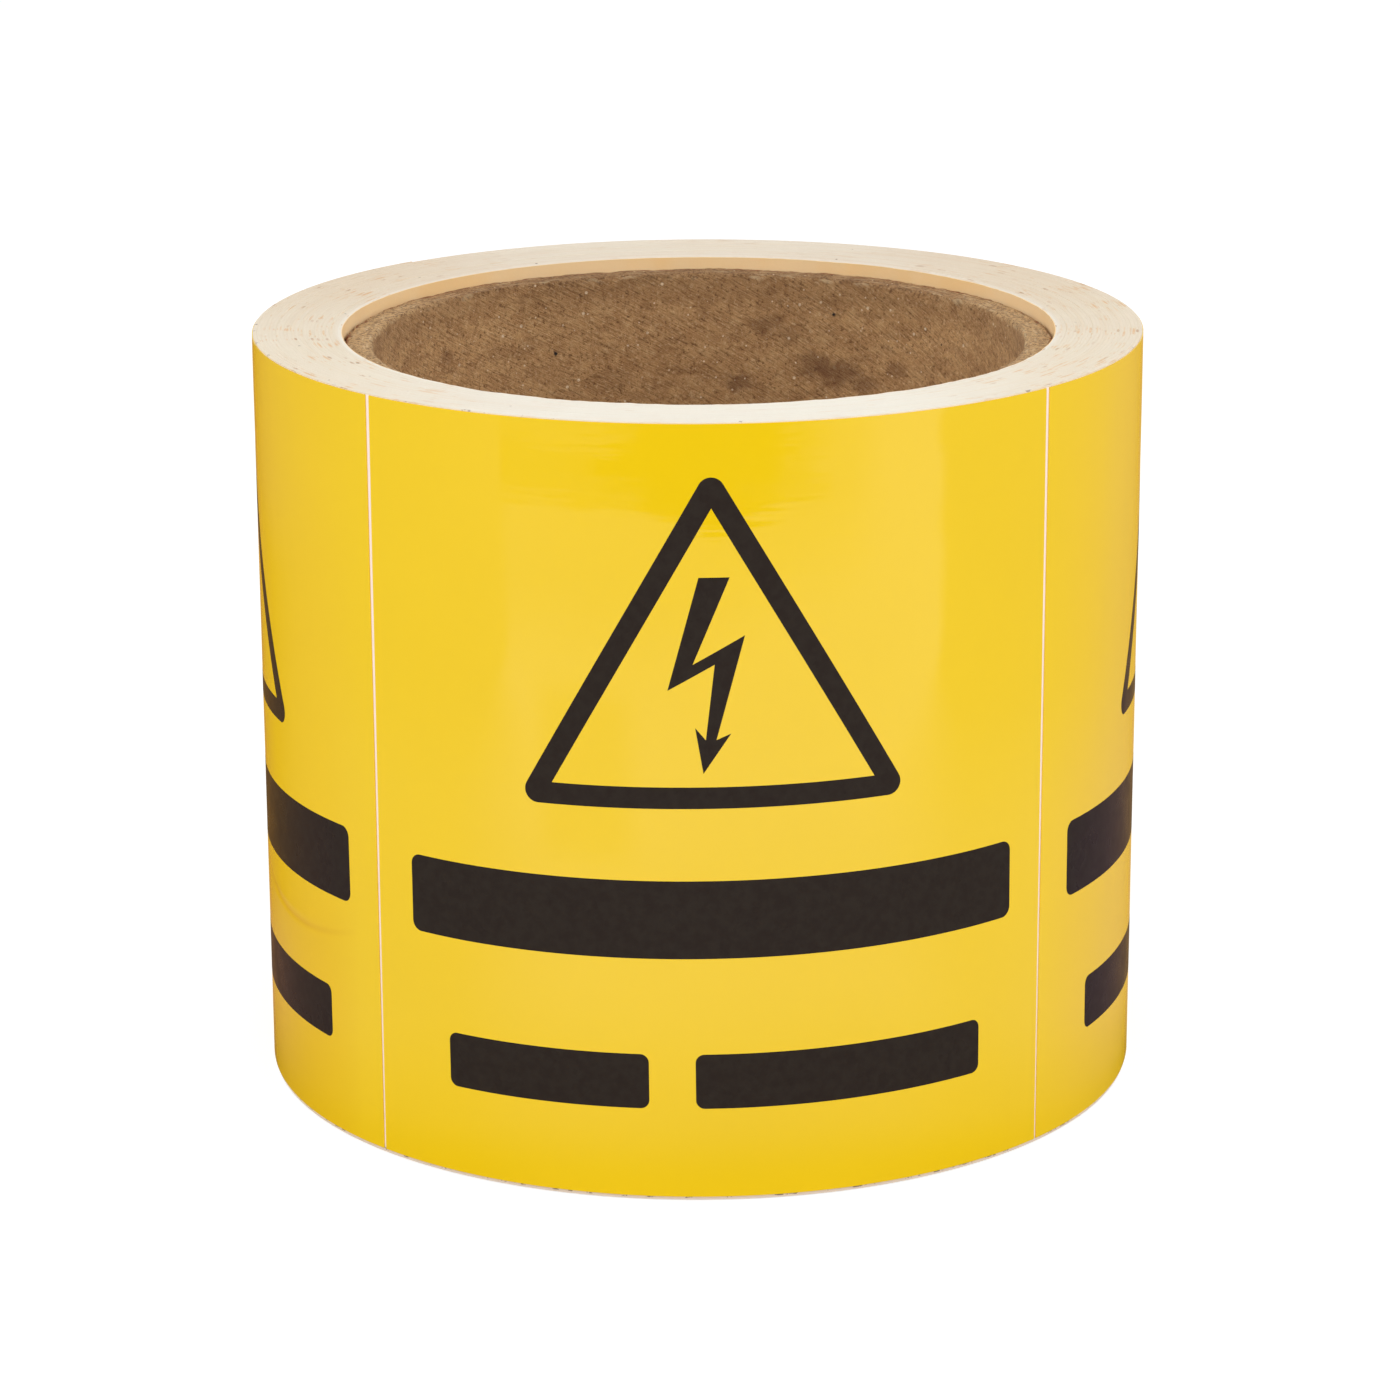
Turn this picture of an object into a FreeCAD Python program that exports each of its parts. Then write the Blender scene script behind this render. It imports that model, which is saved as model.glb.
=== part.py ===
"""Roll of square self-adhesive warning labels, standing on its end.

The labels sit side by side on a paper liner, and the liner is wound on a paper core.
Millimetres, +Z up. The origin is on the core's axis, at the height of the lower end,
and the middle of the front label faces -Y.

Seen from above, the liner runs inwards anticlockwise from its cut tail at the back. Its
spiral is made of quarter circles about the four corners of a small square, whose side is
a quarter of the thickness of one turn: each quarter starts where the last one ended, in
the same direction, and after four of them the spiral is one turn further in.
"""
import FreeCAD
import Part
import Sketcher
import math
import os

# Driving dimensions, in millimetres unless the name says otherwise
DRIVING_SIZES = {
    "core_bore": 76.0,            # inside diameter of the core, the three-inch standard
    "core_wall": 3.5,             # thickness of the core's wound paper wall
    "core_recess": 1.8,           # from the liner's upper edge down to the core's rim
    "core_rim_bevel": 0.3,        # worn corner of the core's two rims
    "liner_width": 89.0,          # width of the liner, which is the height of the roll
    "turn_count": 24,             # turns of liner on the core
    "turn_thickness": 0.44,       # one turn: the liner with its labels
    "label_thickness": 0.15,      # vinyl and its adhesive
    "adhesive_thickness": 0.03,   # the soft film of it, left open under the vinyl
    "label_length": 83.0,         # along the liner
    "label_gap": 0.35,            # bare liner between two labels
    "label_margin_top": 0.25,     # bare liner above a label
    "label_margin_bottom": 0.5,   # bare liner below a label
    "groove_depth": 0.15,         # how far labels stay below the liner's edge, turn to turn
    "front_direction": -90.0,     # degrees, where the middle of the front label faces
}

# Names of the labels on the outermost turn, from the tail inwards, and of its last one
LABEL_NAMES = ["label_left", "label_front", "label_right"]
LAST_LABEL = "label_rear"
FRONT_LABEL = LABEL_NAMES.index("label_front")

# Angles of the spiral, in degrees
FULL_TURN = round(math.degrees(math.tau))
QUARTER = round(math.degrees(math.tau / 4))
SHORTEST_ARC = 0.01               # an arc shorter than this is left out

# Sizes worked out from the driving ones, as expressions
CORE_RADIUS = "(Sizes.core_bore / 2 + Sizes.core_wall)"
WOUND_RADIUS = f"({CORE_RADIUS} + Sizes.turn_count * Sizes.turn_thickness)"
LINER_RADIUS = f"({WOUND_RADIUS} - Sizes.label_thickness)"
LINER_THICKNESS = "(Sizes.turn_thickness - Sizes.label_thickness)"
LABEL_TOP = "(Sizes.liner_width - Sizes.label_margin_top)"
CENTRE_STEP = "(Sizes.turn_thickness / 4)"
LABEL_PITCH = f"((Sizes.label_length + Sizes.label_gap) / {LINER_RADIUS} * 180 / pi)"
HALF_GAP = f"(Sizes.label_gap / 2 / {LINER_RADIUS} * 180 / pi)"
TAIL_DIRECTION = f"(Sizes.front_direction - {FRONT_LABEL + 0.5} * {LABEL_PITCH})"

doc = FreeCAD.newDocument("label_roll")


def make_sheet():
    """Put the driving dimensions into a spreadsheet, one alias for each."""
    sheet = doc.addObject("Spreadsheet::Sheet", "Sizes")
    for row, (name, value) in enumerate(DRIVING_SIZES.items(), start=1):
        sheet.set(f"A{row}", name)
        sheet.set(f"B{row}", str(value))
        sheet.setAlias(f"B{row}", name)
    doc.recompute()
    return sheet


def size(name):
    """Read one driving dimension back from the sheet."""
    return float(sizes.get(name))


def make_profile(name, corners):
    """Draw a closed outline in the X-Z plane.

    Each corner is a pair of expressions: how far inwards it lies from the liner's outer
    face, and how high. An outward distance is negative.
    """
    sketch = doc.addObject("Sketcher::SketchObject", name)
    sketch.Placement.Rotation = FreeCAD.Rotation(FreeCAD.Vector(1, 0, 0), 90)
    points = [FreeCAD.Vector(-float(doc.Sizes.evalExpression(inward)),
                             float(doc.Sizes.evalExpression(height)), 0)
              for inward, height in corners]
    count = len(points)
    lines = [Part.LineSegment(points[i], points[(i + 1) % count]) for i in range(count)]
    sketch.addGeometry(lines, False)
    joints = [Sketcher.Constraint("Coincident", i, 2, (i + 1) % count, 1) for i in range(count)]
    sketch.addConstraint(joints)
    for i, (inward, height) in enumerate(corners):
        across = sketch.addConstraint(Sketcher.Constraint("DistanceX", i, 1, -1, 1, -points[i].x))
        sketch.setExpression(f"Constraints[{across}]", inward)
        upward = sketch.addConstraint(Sketcher.Constraint("DistanceY", -1, 1, i, 1, points[i].y))
        sketch.setExpression(f"Constraints[{upward}]", height)
    return sketch


def make_wound_section():
    """Radial section through all turns, with the groove between each two turns on top.

    The liner is wider than its labels, so its edge stands up on both sides of each label:
    the crests are at the middle of the liner, the valleys at the middle of the label.
    The innermost turn is flat, and reaches past the core's face, which is cut afterwards.
    """
    valley_height = "Sizes.liner_width - Sizes.groove_depth"
    first_crest = f"{LINER_THICKNESS} / 2"
    edge_drop = f"Sizes.groove_depth * {LINER_THICKNESS} / Sizes.turn_thickness"
    inner_face = "(Sizes.turn_count + 1) * Sizes.turn_thickness"
    corners = [("0", "0"), ("0", f"Sizes.liner_width - {edge_drop}")]
    for turn in range(int(size("turn_count")) - 1):
        crest = f"{turn} * Sizes.turn_thickness + {first_crest}"
        corners.append((crest, "Sizes.liner_width"))
        corners.append((f"{crest} + Sizes.turn_thickness / 2", valley_height))
    corners.append((f"(Sizes.turn_count - 1) * Sizes.turn_thickness + {first_crest}",
                    "Sizes.liner_width"))
    corners.append((inner_face, "Sizes.liner_width"))
    corners.append((inner_face, "0"))
    return make_profile("wound_section", corners)


def make_label_section(name, inner):
    """Radial section of a label on the liner's outer face, from the given height above it."""
    outer = "-Sizes.label_thickness"
    return make_profile(name, [
        (inner, "Sizes.label_margin_bottom"),
        (outer, "Sizes.label_margin_bottom"),
        (outer, LABEL_TOP),
        (inner, LABEL_TOP),
    ])


def turn_section(name, section, quarter, start, sweep):
    """Turn a section about the centre of one quarter of the spiral.

    start is where the arc begins within its quarter and sweep how far it goes, both
    expressions in degrees.
    """
    radius = f"({LINER_RADIUS} - {quarter} * {CENTRE_STEP})"
    quarter_direction = f"({TAIL_DIRECTION} + {quarter * QUARTER})"
    arc_direction = f"({quarter_direction} + {start})"
    arc = doc.addObject("Part::Revolution", name)
    arc.Source = section
    arc.Axis = FreeCAD.Vector(0, 0, 1)
    arc.Solid = True
    arc.setExpression("Base.x", f"-{radius}")
    arc.setExpression("Angle", sweep)
    across = (f"{CENTRE_STEP} / 2 * (cos({quarter_direction}) + sin({quarter_direction}))"
              f" + {radius} * cos({arc_direction})")
    along = (f"{CENTRE_STEP} / 2 * (sin({quarter_direction}) - cos({quarter_direction}))"
             f" + {radius} * sin({arc_direction})")
    arc.setExpression("Placement", f"placement(vector({across}; {along}; 0);"
                                   f" rotation(vector(0; 0; 1); {arc_direction}))")
    return arc


def join(name, pieces):
    """Fuse pieces that meet face to face into one solid. A single piece stays as it is."""
    if len(pieces) == 1:
        pieces[0].Label = name
        return pieces[0]
    fused = doc.addObject("Part::MultiFuse", name)
    fused.Shapes = pieces
    fused.Refine = True
    return fused


def cut(name, base, tool):
    """Take one solid away from another."""
    result = doc.addObject("Part::Cut", name)
    result.Base = base
    result.Tool = tool
    result.Refine = True
    return result


def make_core():
    """Wound paper tube, with the corners of both rims worn round the bore and outside."""
    body = doc.addObject("PartDesign::Body", "core")
    sketch = body.newObject("Sketcher::SketchObject", "core_ring")
    base_plane = [plane for plane in body.Origin.OriginFeatures if plane.Role == "XY_Plane"][0]
    sketch.AttachmentSupport = [(base_plane, "")]
    sketch.MapMode = "FlatFace"
    middle = FreeCAD.Vector(0, 0, 0)
    upwards = FreeCAD.Vector(0, 0, 1)
    bore_radius = size("core_bore") / 2
    outer_radius = bore_radius + size("core_wall")
    rings = ((bore_radius, "Sizes.core_bore / 2"), (outer_radius, CORE_RADIUS))
    for number, (radius, expression) in enumerate(rings):
        sketch.addGeometry(Part.Circle(middle, upwards, radius), False)
        sketch.addConstraint(Sketcher.Constraint("Coincident", number, 3, -1, 1))
        index = sketch.addConstraint(Sketcher.Constraint("Radius", number, radius))
        sketch.setExpression(f"Constraints[{index}]", expression)
    tube = body.newObject("PartDesign::Pad", "core_tube")
    tube.Profile = sketch
    tube.setExpression("Length", "Sizes.liner_width - Sizes.core_recess")
    doc.recompute()
    rims = [f"Edge{number}" for number, edge in enumerate(tube.Shape.Edges, start=1)
            if isinstance(edge.Curve, Part.Circle) and edge.isClosed()
            and abs(edge.Curve.Radius - bore_radius) < size("core_wall") / 2]
    bevel = body.newObject("PartDesign::Chamfer", "core_rim_bevels")
    bevel.Base = (tube, rims)
    bevel.setExpression("Size", "Sizes.core_rim_bevel")
    body.Tip = bevel
    return body


def label_name(number, count):
    """Name of a label, counted from the tail."""
    if number == count - 1:
        return LAST_LABEL
    return LABEL_NAMES[number] if number < len(LABEL_NAMES) else f"label_{number + 1}"


def make_labels():
    """Labels of the outermost turn, and the room that they need under the tail."""
    section = make_label_section("label_section", "-Sizes.adhesive_thickness")
    room_section = make_label_section("tucked_room_section", "0")
    pitch = float(doc.Sizes.evalExpression(LABEL_PITCH))
    half_gap = float(doc.Sizes.evalExpression(HALF_GAP))
    count = math.ceil(FULL_TURN / pitch)
    labels = []
    tucked_rooms = []
    for number in range(count):
        name = label_name(number, count)
        start = number * pitch + half_gap
        end = (number + 1) * pitch - half_gap
        start_expression = f"{number} * {LABEL_PITCH} + {HALF_GAP}"
        end_expression = f"{number + 1} * {LABEL_PITCH} - {HALF_GAP}"
        arcs = []
        for quarter in range(int(start // QUARTER), int(end // QUARTER) + 1):
            quarter_start = quarter * QUARTER
            quarter_end = quarter_start + QUARTER
            if min(end, quarter_end) - max(start, quarter_start) < SHORTEST_ARC:
                continue
            begins_here = start > quarter_start
            ends_here = end < quarter_end
            arc_start = f"({start_expression} - {quarter_start})" if begins_here else "0"
            arc_end = f"({end_expression} - {quarter_start})" if ends_here else f"{QUARTER}"
            sweep = f"{arc_end} - {arc_start}"
            arcs.append(turn_section(f"{name}_arc_{len(arcs) + 1}", section, quarter,
                                     arc_start, sweep))
            if quarter_start >= FULL_TURN:
                room_name = f"tucked_room_{len(tucked_rooms) + 1}"
                tucked_rooms.append(turn_section(room_name, room_section, quarter,
                                                 arc_start, sweep))
        labels.append(join(name, arcs))
    return labels, tucked_rooms


def make_liner(tucked_rooms):
    """All the wound turns as one solid, seated on the core, with room for what is tucked in."""
    section = make_wound_section()
    quarters = [turn_section(f"wound_quarter_{quarter + 1}", section, quarter, "0", f"{QUARTER}")
                for quarter in range(FULL_TURN // QUARTER)]
    wound = join("wound_turns", quarters)
    seat = doc.addObject("Part::Cylinder", "core_seat")
    seat.setExpression("Radius", CORE_RADIUS)
    seat.setExpression("Height", "Sizes.liner_width")
    liner = cut("liner_on_core", wound, seat)
    for number, room in enumerate(tucked_rooms, start=1):
        liner = cut(f"liner_over_label_{number}", liner, room)
    liner.Label = "wound_liner"
    return liner


def check_document():
    """Stop if any object failed, or if a sub-part is not a sound solid."""
    for item in doc.Objects:
        if "Invalid" in item.State or "Error" in item.State:
            raise RuntimeError(f"{item.Name} failed: {item.State}")
    for part in parts:
        if part.Shape.isNull() or not part.Shape.isValid() or not part.Shape.Solids:
            raise RuntimeError(f"{part.Label} has no sound shape")


sizes = make_sheet()
core = make_core()
labels, tucked_rooms = make_labels()
parts = [core, make_liner(tucked_rooms)] + labels

doc.recompute()
check_document()
os.makedirs("parts", exist_ok=True)
for part in parts:
    part.Shape.exportStep(f"parts/{part.Label}.step")
    print(f"{part.Label}: {len(part.Shape.Solids)} solid, {part.Shape.Volume:.1f} mm3")
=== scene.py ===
"""Roll of warning labels on its end: looks, light and camera."""

import math

import bpy
import numpy as np
from mathutils import Matrix, Vector
from mathutils.geometry import delaunay_2d_cdt


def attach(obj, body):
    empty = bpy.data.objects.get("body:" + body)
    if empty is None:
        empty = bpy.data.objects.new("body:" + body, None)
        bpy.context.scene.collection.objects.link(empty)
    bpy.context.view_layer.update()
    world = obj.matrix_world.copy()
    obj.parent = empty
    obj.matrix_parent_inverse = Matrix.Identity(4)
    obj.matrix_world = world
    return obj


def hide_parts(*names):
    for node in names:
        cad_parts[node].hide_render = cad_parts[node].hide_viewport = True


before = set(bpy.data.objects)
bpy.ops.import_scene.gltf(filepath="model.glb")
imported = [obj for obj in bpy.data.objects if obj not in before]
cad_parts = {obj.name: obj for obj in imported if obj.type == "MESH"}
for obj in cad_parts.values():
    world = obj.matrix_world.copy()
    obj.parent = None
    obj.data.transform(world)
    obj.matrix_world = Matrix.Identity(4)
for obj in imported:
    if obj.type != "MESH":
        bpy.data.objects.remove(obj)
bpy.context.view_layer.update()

MM = 0.001
BODY = "root"

# The roll, in millimetres and degrees
COLUMNS = 360              # columns of the winding's mesh round one turn
TAIL_ANGLE = 132.0         # where the outer turn ends, anticlockwise from +X
LINER_RADIUS = 51.9        # outer face of the liner at its tail
TURN = 0.44                # liner and label of one turn
WHOLE_TURNS = 22           # turns that are modelled one by one
BORE_RADIUS = 41.5         # bore of the winding, round the core
LINER_TOP = 89.0
CORE_RADIUS = 38.0         # bore of the core
CORE_TOP = 87.2
LABEL_PITCH = 92.0         # degrees from one label to the next
SLIT_HIGH = 0.60           # gap between two labels at their upper edge
SLIT_LOW = 0.36            # and at their lower edge
LABEL_LOW = 0.5
LABEL_HIGH = 88.75
VINYL = 0.15               # thickness of a label
DISH = 0.3                 # how far the inner turns sit below the outer ones
INK = 0.012                # how far the print stands above the vinyl
INK_ROOT = 0.02            # and how deep it starts in the vinyl
LABEL_LIFT = 0.005         # space between liner and label


# Small helpers

def spiral(turned):
    """Outer radius of the liner after so many degrees from its tail."""
    return LINER_RADIUS - TURN * turned / 360


def at(radius, turned, height):
    """Point of the roll in metres, from its radius, its degrees from the tail and its height."""
    angle = math.radians(TAIL_ANGLE + turned)
    return (radius * math.cos(angle) * MM, radius * math.sin(angle) * MM, height * MM)


def bumpy(seed, count, length):
    """Smooth random values from -1 to 1, as many as count, that change over about length of them."""
    knots = max(3, int(count / length) + 3)
    values = np.random.default_rng(seed).uniform(-1, 1, knots + 1)
    place = np.linspace(0, knots - 1e-6, count)
    left = place.astype(int)
    part = place - left
    part = part * part * (3 - 2 * part)
    return values[left] * (1 - part) + values[left + 1] * part


def along_face(turned):
    """Way along the liner's face in millimetres for so many degrees."""
    return turned * math.radians(LINER_RADIUS)


def piece(name, points, faces, slot, *nodes, smooth_below=None):
    """Mesh object that rides on the roll, in place of CAD nodes; its slot argument is not used."""
    mesh = bpy.data.meshes.new(name)
    mesh.from_pydata(points, [], faces)
    mesh.validate()
    if smooth_below is not None:
        mesh.shade_smooth()
        mesh.set_sharp_from_angle(angle=math.radians(smooth_below))
    made = bpy.data.objects.new(name, mesh)
    bpy.context.scene.collection.objects.link(made)
    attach(made, BODY)
    if nodes:
        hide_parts(*nodes)
    return made


# The winding: liner and covered labels

UPPER_RIDGE = [(0.14, 0.02), (0.5, 0.0), (0.86, 0.02)]    # shares of a turn, and how low each lies
LOWER_RIDGE = [(0.5, 0.0)]
UPPER_GROOVE = 0.07        # depth of the line between two turns
LOWER_GROOVE = 0.09
UPPER_SPREAD = 0.07        # how uneven the turns are
LOWER_SPREAD = 0.03
BORE_LOW = 0.05            # where the bore ends above the floor
BORE_DROP = 0.17           # how far its upper edge lies below the inner turn
LINE_TINT = -1.0           # tint of the lines between turns, which the paper's look reads


def make_winding():
    """Closed mesh of the wound liner, whose turns stand out on both end faces."""
    points, faces, tint = [], [], []

    def put(point, value):
        points.append(point)
        tint.append(value)
        return len(points) - 1

    def end_face(rows, groove, level, seed, dish, spread):
        """Points of one end face: the line between turns, and the rows of each turn."""
        total = (WHOLE_TURNS + 1) * COLUMNS + 1
        wave = bumpy(seed, total, COLUMNS / 7) * 0.6 + bumpy(seed + 1, total, COLUMNS / 31) * 0.4
        turn_level = bumpy(seed + 2, total, COLUMNS * 0.8)
        streak = bumpy(seed + 3, total, COLUMNS / 3) * 0.7 + bumpy(seed + 4, total, COLUMNS / 40) * 0.3

        def height(index, share):
            """Depth of a point of the end face below its highest level."""
            inwards = (index / COLUMNS + share) / WHOLE_TURNS
            rough = spread * (2 + wave[index] + turn_level[index]) / 4
            return dish * inwards ** 2 + rough

        line = []
        for index in range(total):
            radius = LINER_RADIUS - TURN * index / COLUMNS
            depth = height(index, 0) + groove * (0.75 + 0.25 * wave[index - 40])
            line.append(put(at(radius, index * 360 / COLUMNS, level(depth)), LINE_TINT))
        between = []
        for index in range(WHOLE_TURNS * COLUMNS + 1):
            ring = []
            for share, drop in rows:
                radius = LINER_RADIUS - TURN * (index / COLUMNS + share)
                depth = height(index, share) + drop
                ring.append(put(at(radius, index * 360 / COLUMNS, level(depth)), streak[index]))
            between.append(ring)
        return line, between

    def fill(line, between, bore, upwards):
        """Faces of one end face, from its outer edge to the bore."""
        def add(face):
            faces.append(face if upwards else face[::-1])
        last = WHOLE_TURNS * COLUMNS
        for index in range(last):
            here = [line[index], *between[index], line[index + COLUMNS]]
            there = [line[index + 1], *between[index + 1], line[index + 1 + COLUMNS]]
            for j in range(len(here) - 1):
                add([here[j], there[j], there[j + 1], here[j + 1]])
        end = [line[last], *between[last], line[last + COLUMNS]]
        add([line[last], line[last + 1], bore[1], bore[0], *end[:0:-1]])
        for c in range(1, COLUMNS):
            add([line[last + c], line[last + c + 1], bore[(c + 1) % COLUMNS], bore[c]])

    upper = end_face(UPPER_RIDGE, UPPER_GROOVE, lambda depth: LINER_TOP - 0.01 - depth,
                     11, DISH, UPPER_SPREAD)
    lower = end_face(LOWER_RIDGE, LOWER_GROOVE, lambda depth: depth, 31, 0.0, LOWER_SPREAD)
    ripple = 0.6 * bumpy(51, COLUMNS + 1, 9) + 0.5 * bumpy(52, COLUMNS + 1, 1.5)
    ripple[-1] = ripple[0]
    bore_high, bore_low = [], []
    for c in range(COLUMNS):
        turned = c * 360 / COLUMNS
        fade = math.sin(math.pi * c / COLUMNS)
        uneven = ripple[c] * fade
        bore_high.append(put(at(BORE_RADIUS + 0.05 * (1 + uneven), turned,
                                LINER_TOP - DISH - BORE_DROP + 0.10 * uneven), 1.0))
        bore_low.append(put(at(BORE_RADIUS, turned, BORE_LOW), 1.0))
    fill(*upper, bore_high, True)
    fill(*lower, bore_low, False)
    high, low = upper[0], lower[0]
    for c in range(COLUMNS):
        following = (c + 1) % COLUMNS
        faces.append([low[c], low[c + 1], high[c + 1], high[c]])
        faces.append([bore_low[following], bore_low[c], bore_high[c], bore_high[following]])
    faces.append([low[COLUMNS], *lower[1][0][::-1], low[0], high[0], *upper[1][0], high[COLUMNS]])
    made = piece("winding", points, faces, "liner_paper", "wound_liner")
    made.data.attributes.new("tint", "FLOAT", "POINT").data.foreach_set("value", tint)
    return made


# The labels

# Soft waves of the winding: height of a wave, its turns per millimetre along the face, its
# radians per millimetre of height, and where it starts
RIPPLES = [(0.0042, 0.021, 0.31, 0.4), (0.0036, -0.043, 0.22, 2.1), (0.0030, 0.083, 0.13, 4.0),
           (0.0022, 0.151, -0.09, 1.2), (0.0020, -0.117, 0.47, 3.3), (0.0012, 0.29, 0.36, 5.2)]
MEAN_DIP = 0.018
CREASE_START, CREASE_END = 2, 38    # along the left label, from its middle
CREASE_LOWEST = 24                  # where along the label its line lies lowest
CREASE_HEIGHT = 23.4                # and how high that is
CREASE_BEND = 0.012


def crease_at(turned, height):
    """How strong the left label's crease is here, and how far the height lies above its line."""
    along = along_face(turned) - along_face(0.5 * LABEL_PITCH)
    if not CREASE_START < along < CREASE_END:
        return 0.0, 0.0
    strength = math.sin(math.pi * (along - CREASE_START) / (CREASE_END - CREASE_START)) ** 0.7
    return strength, height - CREASE_HEIGHT - CREASE_BEND * (along - CREASE_LOWEST) ** 2


def crease_depth(turned, height):
    """How deep the crease is: a narrow line, with slack vinyl above it."""
    strength, above = crease_at(turned, height)
    slack = max(0.0, 1 - abs(above - 3) / 4)
    return strength * (0.030 * math.exp(-(above / 0.55) ** 2) + 0.020 * slack * slack)


def painted_crease_shade(turned, height):
    """How much painted shade darkens the vinyl along the crease and on the slack above it, from 0 to 1.
    """
    strength, above = crease_at(turned, height)
    fading = 0.45 * max(0.0, 1 - max(0.0, above) / 9)
    return strength * max(math.exp(-(above / 0.6) ** 2), fading)


def dip(turned, height):
    """How far the vinyl's face lies below its full radius."""
    along = along_face(turned)
    wave = sum(size * math.sin(math.tau * (a * along + b * height / math.tau) + start)
               for size, a, b, start in RIPPLES)
    return MEAN_DIP - wave + crease_depth(turned, height)


def face_radius(turned, height):
    """Radius of the outer face of the vinyl."""
    return spiral(turned) + VINYL - dip(turned, height)


# Heights of the label's rows of points, closer together round the crease
LABEL_ROWS = sorted({LABEL_LOW, LABEL_HIGH, *np.arange(2.0, 88.5, 1.5).tolist(),
                     *np.arange(21.5, 32.0, 0.25).tolist()})
LABEL_COLUMNS = 184


def make_label(name, number):
    """Thin closed shell of one label, bent round the liner."""
    start, end = number * LABEL_PITCH, (number + 1) * LABEL_PITCH
    across, rows = LABEL_COLUMNS, len(LABEL_ROWS) - 1
    points, faces = [], []
    for outer in (True, False):
        for i in range(across + 1):
            for height in LABEL_ROWS:
                share = (height - LABEL_LOW) / (LABEL_HIGH - LABEL_LOW)
                slit = SLIT_LOW + (SLIT_HIGH - SLIT_LOW) * share
                half_gap = math.degrees(slit / 2 / LINER_RADIUS)
                turned = start + half_gap + (end - start - 2 * half_gap) * i / across
                radius = face_radius(turned, height) if outer else spiral(turned) + LABEL_LIFT
                points.append(at(radius, turned, height))
    back = (across + 1) * (rows + 1)

    def index(i, j):
        return i * (rows + 1) + j

    for i in range(across):
        for j in range(rows):
            quad = [index(i, j), index(i + 1, j), index(i + 1, j + 1), index(i, j + 1)]
            faces.append(quad)
            faces.append([k + back for k in quad[::-1]])
    rim = ([index(i, 0) for i in range(across)] + [index(across, j) for j in range(rows)]
           + [index(i, rows) for i in range(across, 0, -1)] + [index(0, j) for j in range(rows, 0, -1)])
    for here, there in zip(rim, rim[1:] + rim[:1]):
        faces.append([here, here + back, there + back, there])
    shell = piece(f"{name}_vinyl", points, faces, "label_vinyl", name, smooth_below=30)
    # Painted shade along the crease, kept on the mesh for the vinyl's look
    painted_shade = [painted_crease_shade(start + (end - start) * i / across, height)
            for _ in range(2) for i in range(across + 1) for height in LABEL_ROWS]
    shell.data.attributes.new("crease", "FLOAT", "POINT").data.foreach_set("value", painted_shade)
    return shell


# The print: a triangle with a bolt in it, and plain bars in place of words

def rounded(corners, radius, steps=10):
    """Closed outline whose corners are rounded to a radius."""
    outline = []
    for k, corner in enumerate(corners):
        before, after = corners[k - 1], corners[(k + 1) % len(corners)]
        corner = Vector(corner)
        one, two = (Vector(before) - corner).normalized(), (Vector(after) - corner).normalized()
        half = one.angle(two) / 2
        centre = corner + (one + two).normalized() * radius / math.sin(half)
        first = corner + one * radius / math.tan(half) - centre
        last = corner + two * radius / math.tan(half) - centre
        sweep = first.angle_signed(last)
        for step in range(steps + 1):
            turn = Matrix.Rotation(-sweep * step / steps, 2)
            outline.append(tuple(centre + turn @ first))
    return outline


def bar(left, right, low, high, radius):
    """Outline of a bar with rounded ends."""
    return rounded([(left, low), (right, low), (right, high), (left, high)], radius)


TRIANGLE_SIDE = 44.5
TRIANGLE_LOW = 45.9
TRIANGLE_STROKE = 2.45
# Corners of the bolt with its arrow head, from the label's middle line and its lower edge
BOLT = [(-1.45, 71.9), (1.9, 71.9), (-2.2, 62.2), (3.5, 65.4), (0.3, 53.7), (1.9, 54.4),
        (-1.15, 49.9), (-2.0, 55.1), (-0.85, 53.7), (0.2, 62.2), (-4.95, 59.3)]
PRINT_TILT = 0.45          # degrees that the print leans on its label
PRINT_MIDDLE = 45.0        # height that it turns about
PRINT_GRID = 1.1           # size of its triangles


def triangle(inset, radius):
    """Outline of the triangle, moved inwards by the inset."""
    half = TRIANGLE_SIDE / 2 - inset * math.sqrt(3)
    low = TRIANGLE_LOW + inset
    corners = [(-half, low), (half, low), (0, low + half * math.sqrt(3))]
    return rounded(corners, radius) if radius else corners


# Outlines of the print; a bar's numbers are left, right, low, high and the radius of its corners
PRINT = {
    "triangle": [triangle(0, 1.5), triangle(TRIANGLE_STROKE, 0)],
    "bolt": [BOLT],
    "bar_1": [bar(-36.4, 36.4, 28.6, 37.6, 1.2)],
    "bar_2": [bar(-31.6, -7.6, 11.0, 17.4, 1.0)],
    "bar_3": [bar(-2.4, 31.8, 11.0, 17.4, 1.0)],
}


def inside(point, outlines):
    """Whether a point lies in the outlines, by how often a line from it crosses them."""
    found = False
    x, y = point
    for outline in outlines:
        for (ax, ay), (bx, by) in zip(outline, outline[1:] + outline[:1]):
            if (ay > y) != (by > y) and x < (bx - ax) * (y - ay) / (by - ay) + ax:
                found = not found
    return found


def divided(outline, longest):
    """Outline with points added so that no side is longer than given."""
    made = []
    for a, b in zip(outline, outline[1:] + outline[:1]):
        count = max(1, math.ceil(math.dist(a, b) / longest))
        made += [(a[0] + (b[0] - a[0]) * k / count, a[1] + (b[1] - a[1]) * k / count)
                 for k in range(count)]
    return made


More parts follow.
